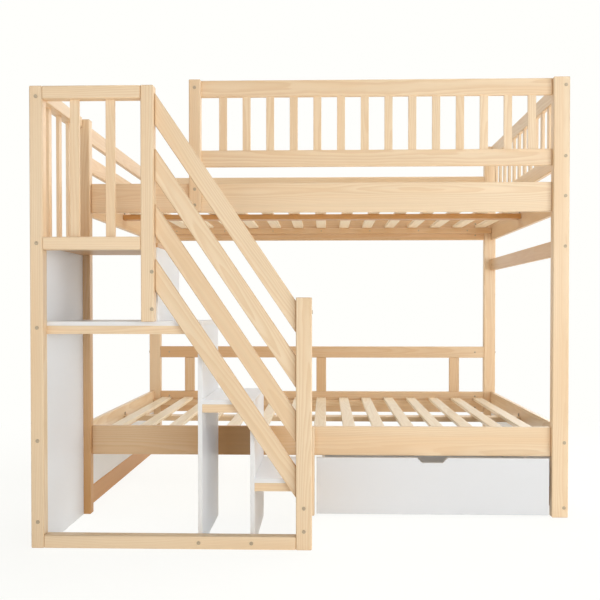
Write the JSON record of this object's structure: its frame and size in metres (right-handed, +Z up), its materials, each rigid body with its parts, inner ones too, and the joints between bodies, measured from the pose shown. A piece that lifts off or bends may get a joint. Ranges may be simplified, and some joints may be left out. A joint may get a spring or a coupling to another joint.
{
  "type": "bunk bed",
  "caption": "Stairway bunk bed with two slatted platforms, guard rails, a caged landing over open cubbies, and a castored drawer under the lower berth.",
  "frame": {"origin": "middle of the whole bed's footprint, on the floor", "axes": "+X along the bed to the right seen from the stair side, +Y to the back, +Z up"},
  "size_m": [1.9904, 1.959, 1.749],
  "materials": {
    "pine": "natural pine, clear satin lacquer",
    "slat_pine": "natural pine, planed",
    "white_panel": "white laminated board, satin",
    "drawer_white": "warm white lacquered board, satin",
    "zinc_steel": "zinc plated",
    "castor_nylon": "moulded nylon"
  },
  "bodies": {
    "bed_frame": {"post_front_right": "pine", "post_back_right": "pine", "post_front_left": "pine", "post_back_left": "pine", "leg_front_middle": "pine", "guard_post": "pine", "upper_front_rail": "pine", "upper_back_rail": "pine", "upper_end_rails": "pine", "upper_side_cleats": "pine", "upper_centre_beam": "pine", "upper_slats": "slat_pine", "front_guard_boards": "pine", "front_guard_balusters": "pine", "right_guard_boards": "pine", "right_guard_balusters": "pine", "left_guard_boards": "pine", "back_guard_boards": "pine", "right_mid_rail": "pine", "lower_front_rail": "pine", "lower_back_rail": "pine", "lower_end_rails": "pine", "lower_side_cleats": "pine", "lower_centre_beam": "pine", "lower_slats": "slat_pine", "back_rest_rail": "pine", "back_rest_uprights": "pine", "end_tie_rails": "pine", "end_panels": "white_panel", "stair_left_post": "pine", "stair_upper_newel": "pine", "stair_lower_newel": "pine", "stair_bottom_rail": "pine", "landing_top_rail": "pine", "landing_front_rail": "pine", "landing_front_balusters": "pine", "stair_side_rails": "pine", "landing_side_balusters": "pine", "landing_board": "pine", "stair_bearers": "pine", "stair_side_panel": "white_panel", "upper_riser": "white_panel", "middle_riser": "white_panel", "lower_riser": "white_panel", "shelf_tread": "white_panel", "middle_tread": "white_panel", "lower_tread": "white_panel", "tread_nosings": "pine", "stair_guard_boards": "pine", "connector_bolts": "zinc_steel"},
    "drawer": {"drawer_front": "drawer_white", "drawer_sides": "drawer_white", "drawer_back": "drawer_white", "drawer_bottom": "drawer_white", "castor_brackets": "zinc_steel", "castor_axles": "zinc_steel"},
    "castor_1": {"castor_wheel_1": "castor_nylon"},
    "castor_2": {"castor_wheel_2": "castor_nylon"},
    "castor_3": {"castor_wheel_3": "castor_nylon"},
    "castor_4": {"castor_wheel_4": "castor_nylon"}
  },
  "joints": [
    {"name": "drawer_slide", "type": "slide", "parent": "bed_frame", "child": "drawer", "axis": [0, -1, 0], "range_m": [0, 0.6]},
    {"name": "castor_1_roll", "type": "hinge", "parent": "drawer", "child": "castor_1", "pos_m": [0.08575, -0.419, 0.02], "axis": [1, 0, 0], "continuous": true},
    {"name": "castor_2_roll", "type": "hinge", "parent": "drawer", "child": "castor_2", "pos_m": [0.08575, 0.139, 0.02], "axis": [1, 0, 0], "continuous": true},
    {"name": "castor_3_roll", "type": "hinge", "parent": "drawer", "child": "castor_3", "pos_m": [0.82375, -0.419, 0.02], "axis": [1, 0, 0], "continuous": true},
    {"name": "castor_4_roll", "type": "hinge", "parent": "drawer", "child": "castor_4", "pos_m": [0.82375, 0.139, 0.02], "axis": [1, 0, 0], "continuous": true}
  ],
  "couplings": [
    {"joint": "castor_1_roll", "follows": "drawer_slide", "rad_per_m": 50},
    {"joint": "castor_2_roll", "follows": "drawer_slide", "rad_per_m": 50},
    {"joint": "castor_3_roll", "follows": "drawer_slide", "rad_per_m": 50},
    {"joint": "castor_4_roll", "follows": "drawer_slide", "rad_per_m": 50}
  ]
}
